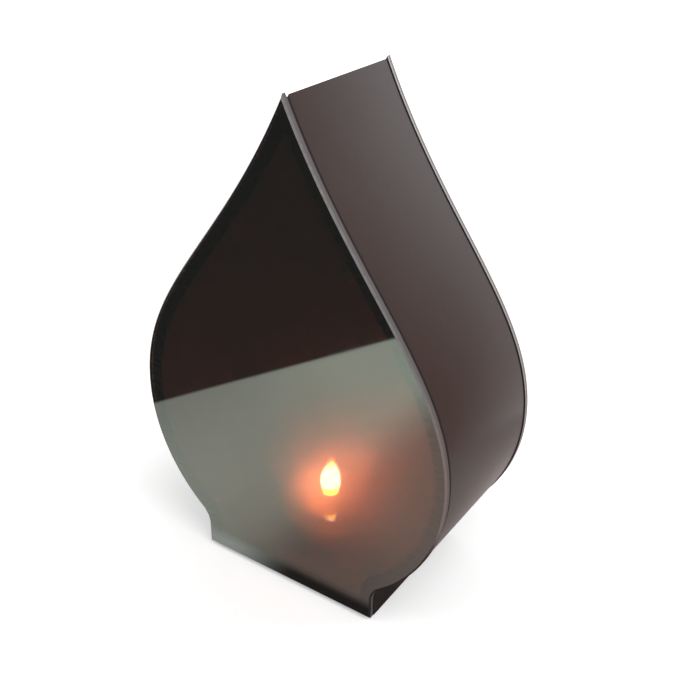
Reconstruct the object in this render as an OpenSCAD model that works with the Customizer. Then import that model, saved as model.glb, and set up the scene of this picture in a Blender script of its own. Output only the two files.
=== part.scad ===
// Flame-shaped wall sconce: smoked mirror glass in front, a bent steel housing,
// a back plate with keyholes and a battery candle on a cup that pulls out of the foot.
// Millimetres, +Z up, the glass faces -Y. The origin is on the surface that the
// rubber feet stand on, in the middle of the sconce's width and depth.

/* [Outline] */
// Height of the glass and the back plate, bottom edge to tip
flame_h = 340; // [290:1:410]
// Width of the glass and the back plate at the belly
flame_w = 235; // [200:1:282]
// Width of the straight foot
foot_w = 138; // [120:1:160]
// Height of the straight foot
foot_h = 16; // [14:1:30]
// Radius of the hollow neck between foot and belly
neck_r = 17; // [12:1:35]
// How far the belly's upright tangent pulls the flank up
shoulder_pull = 77; // [55:1:85]
// How far the tip's slope pulls the flank down
tip_pull = 113; // [80:1:125]
// Angle of the flank to the vertical at the tip, in degrees
tip_angle = 25.5; // [22:0.5:30]

/* [Housing] */
// Depth from the front of the glass to the back of the back plate
depth = 111; // [95:1:134]
// Thickness of the front glass
glass_t = 5; // [3:0.5:8]
// Thickness of the back plate
back_t = 4; // [3:0.5:6]
// Thickness of the steel sheet of the side walls
sheet_t = 1.5; // [1:0.1:2.5]
// How far the glass and the back plate stand out past the side walls
overhang = 0.7; // [0.5:0.1:2]
// How far the side walls reach below the glass
rim_drop = 2; // [1:0.5:4]
// Thickness of the black bonding strip behind the glass
seal_t = 1.4; // [0.8:0.1:2]
// Width of the flange ring that the glass is bonded to
front_flange_w = 8; // [6:0.5:12]
// Width of the flange ring that the back plate is screwed to
rear_flange_w = 11; // [9:0.5:14]
// Thickness of both flange rings
flange_t = 2; // [1.5:0.1:3]

/* [Wall fixing] */
// Distance between the two keyholes
keyhole_gap = 90; // [60:1:110]
// Height of the keyholes' round entries above the plate's bottom edge
keyhole_up = 205; // [170:1:220]
// Diameter of the keyhole's round entry
keyhole_d = 9; // [8:0.5:11]
// Width of the keyhole's slot
keyhole_slot_w = 4.5; // [3.5:0.1:5.5]
// Length of the slot above the entry, between their centres
keyhole_slot_l = 9; // [8:0.5:14]
// Diameter of the screws that hold the back plate
back_screw_d = 3; // [2.5:0.5:4]

/* [Foot] */
// How far the rubber feet stand out below the side walls
feet_proud = 1; // [0.5:0.1:2]
// Depth of the recess under the foot, from the walls' edge to the floor
recess_h = 11; // [10:0.5:14]
// Thickness of the floor
floor_t = 1.5; // [1:0.1:2.5]
// Diameter of a rubber foot at the floor
rubber_d = 16; // [12:1:18]
// Diameter of the screws of the rubber feet
foot_screw_d = 4; // [3:0.5:5]

/* [Candle cup] */
// Diameter of the cup
cup_d = 54; // [50:1:60]
// Wall of the cup
cup_t = 1.5; // [1:0.1:2]
// Height of the candle's seat above the floor's upper face
seat_up = 4.5; // [4:0.5:8]
// Depth of the recess that the candle stands in
seat_h = 8; // [5:0.5:10]
// Diameter of the pull knob
knob_d = 20; // [16:1:24]
// Diameter of the stud that ties knob, base and cup
stud_d = 4; // [3:0.5:5]

/* [Battery candle] */
// Diameter of the candle
candle_d = 36.5; // [36:0.5:39]
// Height of the candle's side, from its seat to the rim of its domed top
candle_h = 13; // [12.5:0.5:18]
// Radius of curvature of the domed top
dome_r = 32; // [26:1:60]
// Wall of the candle's body
candle_t = 1.2; // [1:0.1:1.5]
// Height of the collar above the top of the dome
collar_up = 8.5; // [5:0.5:12]
// Radius of the collar
collar_r = 5.4; // [5:0.1:6]
// Height of the flame above the collar
led_flame_h = 34; // [22:1:40]
// Greatest width of the flame
led_flame_w = 15.2; // [13:0.2:18]
// Diameter of the coin cell
cell_d = 20; // [20:0.1:20]
// Thickness of the coin cell
cell_t = 3.2; // [2.5:0.1:3.2]
// Travel of the on/off slider
switch_travel = 2.6; // [2:0.1:3]

/* [Hidden] */
$fn = 96;
EPS = 0.01;
CUT = 1;             // how far a cut runs past the face that it opens
RUN_GAP = 0.3;       // between round faces of pieces that move on each other
SLIP = 0.05;         // radial play of a screw in its thread
HOLE_PLAY = 0.2;     // radial play of a screw in a plain hole
SEAT_PLAY = 0.5;     // radial play of the candle in its seat

// heights
rim_z = feet_proud;
plate_z = rim_z + rim_drop;
tip_z = plate_z + flame_h;
floor_z = rim_z + recess_h;
floor_top = floor_z + floor_t;
seat_z = floor_top + seat_up;
cup_top = seat_z + seat_h;
candle_rim_z = seat_z + candle_h;

// places along the depth
front_y = -depth / 2;
back_y = depth / 2;
seal_y = front_y + glass_t;
wall_y0 = seal_y + seal_t;
wall_y1 = back_y - back_t;
front_flange_y = wall_y0;
rear_flange_y = wall_y1 - flange_t;

// outline
belly_r = flame_w / 2;
foot_r = foot_w / 2;
wall_in = overhang + sheet_t;
neck_z = plate_z + foot_h;
belly_z = neck_z + sqrt(pow(belly_r + neck_r, 2) - pow(foot_r + neck_r, 2));
belly_start = atan2(belly_z - neck_z, foot_r + neck_r);
NECK_STEPS = 7;
BELLY_STEPS = 18;
FLANK_STEPS = 22;

// foot and cup
cup_r = cup_d / 2;
grommet_lip = 1.5;
grommet_web = 2.2;
grommet_r = cup_r + RUN_GAP + grommet_web;
cup_base_z = floor_z - grommet_lip - cup_t;
rubber_x = foot_r - wall_in - floor_t - rubber_d / 2 - 2;
rubber_y = (wall_y1 - wall_y0) / 2 - flange_t - floor_t - rubber_d / 2 - 2;
depth_mid = (wall_y0 + wall_y1) / 2;

// battery candle
candle_r = candle_d / 2;
dome_z = candle_rim_z - sqrt(pow(dome_r, 2) - pow(candle_r, 2));   // height of the dome's centre
collar_top = dome_z + dome_r + collar_up;
base_z = seat_z + 1.5;
base_t = 2.4;
door_x = -3;
door_r = cell_d / 2 + 1.4;
door_t = 1.7;
lug_out = 1.1;
lug_w = 3.6;
lug_t = 1;
lug_z = base_z + 0.7;
cell_z = base_z + 2;
ring_h = 4.6;
board_z = cell_z + cell_t + 3;
board_t = 1.2;
contact_t = 0.4;
switch_in = 4.7;                 // from the shell's inner face to the slider's middle
switch_x = candle_r - candle_t - switch_in;
slider_w = 3;
slider_l = 3.6;

// ---- the flame outline ----

// Points of an arc round c, from angle a0 to a1
function arc(c, r, a0, a1, steps) =
    [for (i = [0 : steps]) let (a = a0 + (a1 - a0) * i / steps) c + r * [cos(a), sin(a)]];

function drop_first(list) = [for (i = [1 : len(list) - 1]) list[i]];

// The flank is one cubic curve from the belly's widest point to the tip
flank_p = [
    [belly_r, belly_z],
    [belly_r, belly_z + shoulder_pull],
    [tip_pull * sin(tip_angle), tip_z - tip_pull * cos(tip_angle)],
    [0, tip_z]
];
function flank(u) =
    pow(1 - u, 3) * flank_p[0] + 3 * u * pow(1 - u, 2) * flank_p[1]
    + 3 * u * u * (1 - u) * flank_p[2] + pow(u, 3) * flank_p[3];
function flank_dir(u) =
    pow(1 - u, 2) * (flank_p[1] - flank_p[0]) + 2 * u * (1 - u) * (flank_p[2] - flank_p[1])
    + u * u * (flank_p[3] - flank_p[2]);

// A point of the flank, moved inwards by inset
function flank_at(u, inset) =
    let (d = flank_dir(u), n = [d[1], -d[0]] / norm(d)) flank(u) - inset * n;

// Where the line from p to q meets the middle plane
function meet_middle(p, q) = [0, p[1] + (q[1] - p[1]) * p[0] / (p[0] - q[0])];

// Cuts a side off where it would cross the middle plane
function clip_middle(side) =
    let (kept = [for (p = side) if (p[0] > EPS) p], n = len(kept))
    concat(kept, [meet_middle(kept[n - 1], side[n])]);

// Right side of the outline, moved inwards by inset, from the foot to the tip
function right_side(inset, bottom) =
    concat(
        [[foot_r - inset, bottom]],
        arc([foot_r + neck_r, neck_z], neck_r + inset, 180, 180 - belly_start, NECK_STEPS),
        drop_first(arc([0, belly_z], belly_r - inset, -belly_start, 0, BELLY_STEPS)),
        clip_middle([for (i = [1 : FLANK_STEPS]) flank_at(i / FLANK_STEPS, inset)])
    );

module flame(inset, bottom) {
    side = right_side(inset, bottom);
    last = len(side) - 1;
    polygon(concat(side, [for (i = [1 : last]) [-side[last - i][0], side[last - i][1]]]));
}

// An upright slab whose front is at y
module slab(y, t) {
    translate([0, y + t, 0])
        rotate([90, 0, 0])
            linear_extrude(height = t)
                children();
}

// A flat ring that lies inside the side walls
module flame_ring(outer, w) {
    difference() {
        flame(outer, plate_z + overhang);
        flame(outer + w, plate_z + overhang + w);
    }
}

// A rod along Y from y, on the axis through x and z
module rod_y(x, y, z, r, len) {
    translate([x, y + len, z])
        rotate([90, 0, 0])
            cylinder(r = r, h = len);
}

// ---- housing ----

// Places of the back plate's screws: foot corners, belly and flanks
back_screw_in = wall_in + rear_flange_w / 2;
back_screw_half = [
    [foot_r - back_screw_in, floor_top + back_screw_d + 1.5],
    [belly_r - back_screw_in, belly_z],
    flank_at(0.66, back_screw_in)
];
back_screw_places = concat(back_screw_half, [for (p = back_screw_half) [-p[0], p[1]]]);

module wall_band() {
    slab(wall_y0, wall_y1 - wall_y0)
        difference() {
            flame(overhang, rim_z);
            flame(wall_in, rim_z - CUT);
        }
}

// side is 1 for the right wall and -1 for the left wall
module side_wall(side) {
    intersection() {
        wall_band();
        translate([side > 0 ? 0 : -flame_w, front_y, 0])
            cube([flame_w, depth, tip_z + CUT]);
    }
}

module left_wall() {
    color([0.27, 0.24, 0.24]) side_wall(-1);
}

module right_wall() {
    color([0.27, 0.24, 0.24]) side_wall(1);
}

module front_flange() {
    color([0.18, 0.17, 0.17])
        slab(front_flange_y, flange_t)
            flame_ring(wall_in, front_flange_w);
}

module rear_flange() {
    color([0.18, 0.17, 0.17])
        difference() {
            slab(rear_flange_y, flange_t)
                flame_ring(wall_in, rear_flange_w);
            for (p = back_screw_places)
                rod_y(p[0], rear_flange_y - CUT, p[1], back_hole_r, flange_t + 2 * CUT);
        }
}

seal_in = 0.5;                   // how far the strip stays inside its seat, on both edges

module glass_seal() {
    color([0.03, 0.03, 0.03])
        slab(seal_y, seal_t)
            flame_ring(overhang + seal_in, front_flange_w + sheet_t - 2 * seal_in);
}

module front_glass() {
    color([0.14, 0.15, 0.15, 0.8])
        slab(front_y, glass_t)
            flame(0, plate_z);
}

// The entry is below and the slot above, so the sconce drops onto its screws
module keyhole(x) {
    entry_z = plate_z + keyhole_up;
    rod_y(x, wall_y1 - CUT, entry_z, keyhole_d / 2, back_t + 2 * CUT);
    rod_y(x, wall_y1 - CUT, entry_z + keyhole_slot_l, keyhole_slot_w / 2, back_t + 2 * CUT);
    translate([x - keyhole_slot_w / 2, wall_y1 - CUT, entry_z])
        cube([keyhole_slot_w, back_t + 2 * CUT, keyhole_slot_l]);
}

csk_h = back_screw_d * 0.62;     // depth of the countersunk head
csk_r = back_screw_d * 1.05;     // radius of the head at the plate's back
back_hole_r = back_screw_d / 2 + HOLE_PLAY;

module back_plate() {
    color([0.2, 0.19, 0.19])
        difference() {
            slab(wall_y1, back_t)
                flame(0, plate_z);
            for (x = [-keyhole_gap / 2, keyhole_gap / 2])
                keyhole(x);
            for (p = back_screw_places) {
                rod_y(p[0], wall_y1 - CUT, p[1], back_hole_r, back_t + 2 * CUT);
                translate([p[0], back_y, p[1]])
                    rotate([90, 0, 0])
                        cylinder(r1 = csk_r + HOLE_PLAY, r2 = back_hole_r, h = csk_h);
            }
        }
}

// Pressed pockets behind the keyholes, which keep the flame's light in and the screw heads out
pocket_room = 3;                 // round the keyhole
pocket_depth = 7;
pocket_t = 0.8;

module pocket_body(x, y0, r) {
    entry_z = plate_z + keyhole_up;
    h = wall_y1 - y0;
    rod_y(x, y0, entry_z, r, h);
    rod_y(x, y0, entry_z + keyhole_slot_l, r, h);
    translate([x - r, y0, entry_z])
        cube([2 * r, h, keyhole_slot_l]);
}

module keyhole_pockets() {
    r = keyhole_d / 2 + pocket_room;
    y0 = wall_y1 - pocket_depth;
    color([0.12, 0.12, 0.12])
        for (x = [-keyhole_gap / 2, keyhole_gap / 2])
            difference() {
                pocket_body(x, y0, r + pocket_t);
                translate([0, CUT, 0])
                    pocket_body(x, y0 + pocket_t - CUT, r);
            }
}

back_nut_h = back_screw_d * 0.8;
back_nut_r = back_screw_d;

module back_nuts() {
    color([0.7, 0.7, 0.72])
        for (p = back_screw_places)
            difference() {
                rod_y(p[0], rear_flange_y - back_nut_h, p[1], back_nut_r, back_nut_h);
                rod_y(p[0], rear_flange_y - back_nut_h - CUT, p[1],
                      back_screw_d / 2 + SLIP, back_nut_h + 2 * CUT);
            }
}

module back_screws() {
    shank_l = back_t + flange_t + back_nut_h;
    color([0.75, 0.75, 0.77])
        for (p = back_screw_places)
            difference() {
                union() {
                    rod_y(p[0], back_y - shank_l, p[1], back_screw_d / 2, shank_l - csk_h);
                    translate([p[0], back_y - EPS, p[1]])
                        rotate([90, 0, 0])
                            cylinder(r1 = csk_r, r2 = back_screw_d / 2, h = csk_h);
                }
                translate([p[0], back_y + CUT, p[1]])
                    rotate([90, 0, 0])
                        cylinder(d = back_screw_d * 0.75, h = CUT + csk_h * 0.85, $fn = 6);
            }
}

// ---- foot ----

floor_x = foot_r - wall_in;
floor_y0 = front_flange_y + flange_t;
floor_y1 = rear_flange_y;
floor_skirt = 6;
foot_hole_r = foot_screw_d / 2 + HOLE_PLAY;

// The four rubber feet
module at_feet() {
    for (x = [-rubber_x, rubber_x], y = [-rubber_y, rubber_y])
        translate([x, depth_mid + y, 0])
            children();
}

module foot_floor() {
    color([0.2, 0.19, 0.19])
        difference() {
            translate([-floor_x, floor_y0, floor_z - floor_skirt])
                cube([2 * floor_x, floor_y1 - floor_y0, floor_skirt + floor_t]);
            translate([-floor_x + floor_t, floor_y0 + floor_t, floor_z - floor_skirt - CUT])
                cube([2 * (floor_x - floor_t), floor_y1 - floor_y0 - 2 * floor_t, floor_skirt + CUT]);
            translate([0, 0, floor_z - CUT])
                cylinder(r = grommet_r, h = floor_t + 2 * CUT);
            at_feet()
                translate([0, 0, floor_z - CUT])
                    cylinder(r = foot_hole_r, h = floor_t + 2 * CUT);
        }
}

module cup_grommet() {
    inner = cup_r + RUN_GAP;
    outer = grommet_r + 2.5;
    ease = 0.6;
    color([0.05, 0.05, 0.05])
        rotate_extrude()
            polygon([
                [inner + ease, floor_z - grommet_lip], [outer, floor_z - grommet_lip],
                [outer, floor_z], [grommet_r, floor_z], [grommet_r, floor_top], [outer, floor_top],
                [outer - ease, floor_top + grommet_lip], [inner + ease, floor_top + grommet_lip],
                [inner, floor_top + grommet_lip - ease], [inner, floor_z - grommet_lip + ease]
            ]);
}

foot_head_z = 5;                 // height of the screw's seat in the rubber foot
foot_head_r = foot_screw_d * 0.95;
foot_head_h = foot_screw_d * 0.6;
foot_pocket_r = foot_head_r + 0.6;

module rubber_feet() {
    color([0.06, 0.06, 0.06])
        at_feet()
            rotate_extrude()
                polygon([
                    [foot_pocket_r, 0], [rubber_d / 2 - 2.2, 0], [rubber_d / 2 - 1.4, 0.8],
                    [rubber_d / 2, floor_z], [foot_hole_r, floor_z],
                    [foot_hole_r, foot_head_z], [foot_pocket_r, foot_head_z]
                ]);
}

foot_nut_h = foot_screw_d * 0.8;

module feet_screws() {
    color([0.75, 0.75, 0.77])
        at_feet()
            difference() {
                union() {
                    translate([0, 0, foot_head_z])
                        cylinder(d = foot_screw_d, h = floor_top + foot_nut_h - foot_head_z);
                    translate([0, 0, foot_head_z - foot_head_h])
                        cylinder(r = foot_head_r, h = foot_head_h);
                }
                translate([0, 0, foot_head_z - foot_head_h - CUT])
                    cylinder(d = foot_screw_d * 0.8, h = CUT + foot_head_h * 0.6, $fn = 6);
            }
}

module feet_nuts() {
    color([0.7, 0.7, 0.72])
        at_feet()
            translate([0, 0, floor_top])
                difference() {
                    cylinder(r = foot_screw_d * 0.98, h = foot_nut_h, $fn = 6);
                    translate([0, 0, -CUT])
                        cylinder(r = foot_screw_d / 2 + SLIP, h = foot_nut_h + 2 * CUT);
                }
}

// ---- candle cup ----

boss_r = stud_d;                 // the boss under the seat takes the stud
boss_h = 4;
boss_z = seat_z - cup_t - boss_h;

module candle_cup() {
    recess_r = candle_r + SEAT_PLAY;
    wall_r = cup_r - cup_t;
    lid_z = cup_top - cup_t;
    color([0.2, 0.19, 0.19])
        difference() {
            union() {
                rotate_extrude()
                    polygon([
                        [0, seat_z - cup_t], [recess_r + cup_t, seat_z - cup_t],
                        [recess_r + cup_t, lid_z], [wall_r, lid_z],
                        [wall_r, cup_base_z + cup_t], [cup_r, cup_base_z + cup_t],
                        [cup_r, cup_top - 0.8], [cup_r - 0.8, cup_top],
                        [recess_r, cup_top], [recess_r, seat_z], [0, seat_z]
                    ]);
                translate([0, 0, boss_z])
                    cylinder(r = boss_r, h = boss_h + EPS);
            }
            translate([0, 0, boss_z - CUT])
                cylinder(r = stud_d / 2 + SLIP, h = boss_h + CUT);
        }
}

module cup_base() {
    rim_r = grommet_r + 4;
    pilot_r = cup_r - cup_t - 0.1;
    pilot_h = 1;
    color([0.2, 0.19, 0.19])
        difference() {
            translate([0, 0, cup_base_z])
                rotate_extrude()
                    polygon([
                        [0, 0], [rim_r - 0.8, 0], [rim_r, 0.6], [rim_r, cup_t],
                        [pilot_r, cup_t], [pilot_r, cup_t + pilot_h], [0, cup_t + pilot_h]
                    ]);
            translate([0, 0, cup_base_z - CUT])
                cylinder(r = stud_d / 2 + HOLE_PLAY, h = cup_t + pilot_h + 2 * CUT);
        }
}

knob_z = rim_z + 1;
knob_skin = 1.6;                 // aluminium left under the stud's blind hole

module pull_knob() {
    h = cup_base_z - knob_z;
    r = knob_d / 2;
    color([0.55, 0.55, 0.57])
        difference() {
            translate([0, 0, knob_z])
                rotate_extrude()
                    polygon([
                        [0, 0], [r - 0.8, 0], [r, 0.8], [r, h * 0.4], [r * 0.92, h * 0.5],
                        [r * 0.62, h * 0.72], [r * 0.62, h * 0.92], [r * 0.72, h], [0, h]
                    ]);
            translate([0, 0, knob_z + knob_skin])
                cylinder(r = stud_d / 2 + SLIP, h = h);
        }
}

module knob_stud() {
    end_play = 0.3;
    z0 = knob_z + knob_skin + end_play;
    color([0.75, 0.75, 0.77])
        translate([0, 0, z0])
            cylinder(d = stud_d, h = seat_z - cup_t - end_play - z0);
}

// ---- battery candle ----

spigot_r = 3.5;
spigot_l = 3;
lamp_r = 2.5;
DOME_STEPS = 8;

// Points of the domed top's profile from the rim inwards, for a skin that lies inset below it
function dome(inset, r0, r1) =
    let (r = dome_r - inset, a0 = acos(r0 / r), a1 = acos(r1 / r))
    arc([0, dome_z], r, a0, a1, DOME_STEPS);

// Closed above by the dome and the collar that the flame stands on, open below for the base
module candle_shell() {
    bore_r = spigot_r + 0.1;
    inner_r = candle_r - candle_t;
    color([0.16, 0.13, 0.12])
        rotate_extrude()
            polygon(concat(
                [[inner_r, seat_z], [candle_r - 0.3, seat_z], [candle_r, seat_z + 0.4],
                 [candle_r, candle_rim_z - 0.5]],
                dome(0, candle_r - 0.5, collar_r + 0.8),
                [[collar_r, dome_z + dome_r + 0.6], [collar_r, collar_top - 0.3],
                 [collar_r - 0.3, collar_top], [bore_r, collar_top]],
                [for (p = [1 : DOME_STEPS + 1]) dome(candle_t, inner_r, bore_r)[DOME_STEPS + 1 - p]]
            ));
}

FLAME_STEPS = 24;
FLAME_WAIST = 0.34;              // share of the height at which the flame is widest
FLAME_FOOT = 0.75;               // width at the collar, as a share of the greatest

// Half-width at the share s of the flame's height: a round bulb drawn out to a thin wisp
function flame_half(s) =
    led_flame_w / 2 * (s < FLAME_WAIST
        ? FLAME_FOOT + (1 - FLAME_FOOT) * sin(90 * s / FLAME_WAIST)
        : pow(cos(90 * (s - FLAME_WAIST) / (1 - FLAME_WAIST)), 1.6));

module flame_tip() {
    hollow_up = 6;
    color([1, 0.72, 0.35, 0.8])
        difference() {
            rotate_extrude()
                polygon(concat(
                    [[0, collar_top - spigot_l], [spigot_r, collar_top - spigot_l],
                     [spigot_r, collar_top]],
                    [for (i = [0 : FLAME_STEPS - 1])
                        let (s = i / FLAME_STEPS) [flame_half(s), collar_top + led_flame_h * s]],
                    [[0, collar_top + led_flame_h]]
                ));
            translate([0, 0, collar_top - spigot_l - CUT])
                cylinder(r = lamp_r + HOLE_PLAY, h = CUT + spigot_l + hollow_up);
        }
}

module led_lamp() {
    foot_z = collar_top - spigot_l;
    flange_h = 1;
    lamp_l = 5;
    leg_x = 1.27;
    color([0.95, 0.85, 0.6])
        union() {
            translate([0, 0, foot_z - flange_h])
                cylinder(r = lamp_r + 0.4, h = flange_h);
            translate([0, 0, foot_z - EPS])
                cylinder(r = lamp_r, h = lamp_l);
            translate([0, 0, foot_z + lamp_l - EPS])
                sphere(r = lamp_r);
            for (x = [-leg_x, leg_x])
                translate([x, 0, board_z + board_t])
                    cylinder(d = 0.5, h = foot_z - flange_h - board_z - board_t + EPS, $fn = 16);
        }
}

module candle_board() {
    color([0.1, 0.35, 0.16])
        translate([0, 0, board_z])
            cylinder(r = candle_r - candle_t - 0.15, h = board_t);
}

module switch_body() {
    z0 = base_z + base_t + 1.4;
    w = 5.2;
    l = 8.8;
    color([0.1, 0.1, 0.1])
        translate([switch_x - w / 2, -l / 2, z0])
            cube([w, l, board_z - z0]);
}

// Two places of the bayonet door, in degrees: its lugs closed, and the notches that let them in
lug_turn = 20;
notch_turn = 55;
ring_r = cell_d / 2 + RUN_GAP;
ring_t = 1.4;

// A notch in the ring's left side, where the plus contact reaches the cell
module ring_notch() {
    w = 4.4;
    translate([door_x - ring_r - ring_t - CUT, -w / 2, base_z + base_t + 0.8])
        cube([ring_t + 2 * CUT, w, ring_h]);
}

// The candle's closing disc, with the ring round the cell and the bayonet groove of the door
module candle_base() {
    groove_r = door_r + lug_out + RUN_GAP;
    groove_h = lug_t + 2 * HOLE_PLAY;
    notch_w = lug_w + 0.8;
    slot_l = slider_l + switch_travel + 2 * RUN_GAP;
    slot_w = slider_w + 2 * RUN_GAP;
    color([0.16, 0.13, 0.12])
        difference() {
            union() {
                translate([0, 0, base_z])
                    cylinder(r = candle_r - candle_t - 0.1, h = base_t);
                translate([door_x, 0, base_z])
                    cylinder(r = ring_r + ring_t, h = base_t + ring_h);
            }
            translate([door_x, 0, base_z - CUT])
                cylinder(r = door_r + RUN_GAP, h = CUT + door_t + HOLE_PLAY);
            translate([door_x, 0, base_z - CUT])
                cylinder(r = ring_r, h = base_t + ring_h + 2 * CUT);
            translate([door_x, 0, lug_z - HOLE_PLAY])
                cylinder(r = groove_r, h = groove_h);
            for (a = [notch_turn, notch_turn + 180])
                translate([door_x, 0, base_z - CUT])
                    rotate([0, 0, a])
                        translate([0, -notch_w / 2, 0])
                            cube([groove_r, notch_w, CUT + lug_z - base_z + EPS]);
            translate([switch_x - slot_w / 2, -slot_l / 2, base_z - CUT])
                cube([slot_w, slot_l, base_t + 2 * CUT]);
            ring_notch();
        }
}

module battery_door() {
    coin_slot_w = 1.6;
    coin_slot_l = 10;
    color([0.14, 0.12, 0.11])
        translate([door_x, 0, 0])
            difference() {
                union() {
                    translate([0, 0, base_z])
                        cylinder(r = door_r, h = door_t);
                    intersection() {
                        translate([0, 0, lug_z])
                            cylinder(r = door_r + lug_out, h = lug_t);
                        rotate([0, 0, lug_turn])
                            translate([-door_r - 2 * lug_out, -lug_w / 2, lug_z - CUT])
                                cube([2 * door_r + 4 * lug_out, lug_w, lug_t + 2 * CUT]);
                    }
                }
                translate([-coin_slot_l / 2, -coin_slot_w / 2, base_z - CUT])
                    cube([coin_slot_l, coin_slot_w, CUT + door_t / 2]);
            }
}

module coin_cell() {
    r = cell_d / 2;
    can_z = cell_t - 0.35;
    color([0.78, 0.78, 0.8])
        translate([door_x, 0, cell_z])
            rotate_extrude()
                polygon([
                    [0, 0], [r - 0.4, 0], [r, 0.4], [r, cell_t - 0.7], [r - 0.6, can_z],
                    [r - 1.3, can_z], [r - 1.5, cell_t], [0, cell_t]
                ]);
}

// Stands in the ring's notch against the cell's rim and joins the board
module plus_contact() {
    x = door_x - cell_d / 2 - 0.7;
    z0 = base_z + base_t + 1;
    w = 3.6;
    color([0.85, 0.7, 0.4])
        union() {
            translate([x, -w / 2, z0])
                cube([contact_t, w, board_z - z0]);
            translate([x, -w / 2, board_z - contact_t])
                cube([3, w, contact_t]);
        }
}

// A leaf that presses on the cell's top and joins the board
module minus_contact() {
    leaf_z = cell_z + cell_t;
    leaf_l = 10;
    w = 4;
    color([0.85, 0.7, 0.4])
        union() {
            translate([door_x - leaf_l / 2, -w / 2, leaf_z])
                cube([leaf_l, w, contact_t]);
            translate([door_x + leaf_l / 2 - contact_t, -w / 2, leaf_z])
                cube([contact_t, w, board_z - leaf_z]);
        }
}

module switch_slider() {
    head_z = base_z + base_t + RUN_GAP;
    head_w = 4.6;
    head_l = 6.4;
    head_t = 0.8;
    proud = 0.3;
    color([0.12, 0.12, 0.12])
        translate([switch_x, -switch_travel / 2, 0])
            union() {
                translate([-slider_w / 2, -slider_l / 2, base_z - proud])
                    cube([slider_w, slider_l, head_z - base_z + proud + EPS]);
                translate([-head_w / 2, -head_l / 2, head_z])
                    cube([head_w, head_l, head_t]);
            }
}

left_wall();
right_wall();
front_flange();
rear_flange();
glass_seal();
front_glass();
back_plate();
keyhole_pockets();
back_nuts();
back_screws();
foot_floor();
cup_grommet();
rubber_feet();
feet_screws();
feet_nuts();
candle_cup();
cup_base();
pull_knob();
knob_stud();
candle_shell();
flame_tip();
led_lamp();
candle_board();
switch_body();
candle_base();
coin_cell();
plus_contact();
minus_contact();
switch_slider();
battery_door();
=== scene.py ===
"""Looks of the flame-shaped wall sconce: smoked half-mirror glass in front, a satin bronze-black
steel band, a back plate with keyholes and a battery candle. Lengths are millimetres until a mesh
is made; the mesh itself is in metres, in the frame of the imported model."""

import math

import bmesh
import bpy
import numpy as np
from mathutils import Matrix, Vector


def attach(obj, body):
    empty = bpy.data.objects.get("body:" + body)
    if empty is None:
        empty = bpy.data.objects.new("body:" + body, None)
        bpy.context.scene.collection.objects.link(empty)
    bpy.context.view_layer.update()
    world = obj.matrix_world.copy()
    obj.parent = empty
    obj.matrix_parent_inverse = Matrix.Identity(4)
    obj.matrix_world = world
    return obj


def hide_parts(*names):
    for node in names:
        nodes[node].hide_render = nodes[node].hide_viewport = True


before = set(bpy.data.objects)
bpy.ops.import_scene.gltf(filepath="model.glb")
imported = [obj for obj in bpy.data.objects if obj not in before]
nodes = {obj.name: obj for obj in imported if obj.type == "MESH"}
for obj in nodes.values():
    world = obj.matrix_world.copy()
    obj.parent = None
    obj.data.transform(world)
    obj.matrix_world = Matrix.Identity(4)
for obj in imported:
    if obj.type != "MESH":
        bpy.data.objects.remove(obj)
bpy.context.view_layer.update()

MM = 0.001

# ---- sizes that the construction model states, in millimetres ----
RIM_Z, PLATE_Z, TIP_Z, NECK_Z = 1.0, 3.0, 343.0, 19.0
FOOT_R, NECK_R, BELLY_R = 69.0, 17.0, 117.5
BELLY_Z = NECK_Z + math.sqrt((BELLY_R + NECK_R) ** 2 - (FOOT_R + NECK_R) ** 2)
SHOULDER_PULL, TIP_PULL, TIP_ANGLE = 77.0, 113.0, math.radians(25.5)
FRONT_Y, BACK_Y = -55.5, 55.5
GLASS_T, BACK_T, SEAL_T, SHEET_T, OVERHANG = 5.0, 4.0, 1.4, 1.5, 0.7
WALL_Y0, WALL_Y1 = FRONT_Y + GLASS_T + SEAL_T, BACK_Y - BACK_T
KEYHOLE_X, KEYHOLE_Z = 45.0, 208.0                  # of the round entries
KEYHOLE_R, KEYHOLE_SLOT_R, KEYHOLE_RISE = 4.5, 2.25, 9.0
SCREW_D, SCREW_HEAD_W = 3.0, 8.0
SCREW_HOLE_R, SINK_DEPTH, SINK_R = SCREW_D / 2 + 0.2, SCREW_D * 0.62, SCREW_D * 1.05 + 0.2
SEAT_Z = 18.0
CANDLE_R, CANDLE_RIM_Z, CANDLE_T = 18.25, 31.0, 1.2
CAD_DOME_R, COLLAR_UP = 32.0, 8.5
COLLAR_R = 5.4
COLLAR_TOP = CANDLE_RIM_Z + CAD_DOME_R - math.sqrt(CAD_DOME_R ** 2 - CANDLE_R ** 2) + COLLAR_UP
FLAME_H, FLAME_W = 34.0, 15.2

# ---- sizes that are chosen here ----
DOME_R = 60.0                    # flatter than the construction's, so that it mirrors the flame
DOME_Z = CANDLE_RIM_Z - math.sqrt(DOME_R ** 2 - CANDLE_R ** 2)
ARRIS = 1.1                      # bevel round the glass
EDGE_EASE = 0.5                  # of the band's sheet
SIDE_POINTS = 300                # points along one side of the outline
CAP_COLS = 25                    # points across a flat face


# ---- shapes ----

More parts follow.
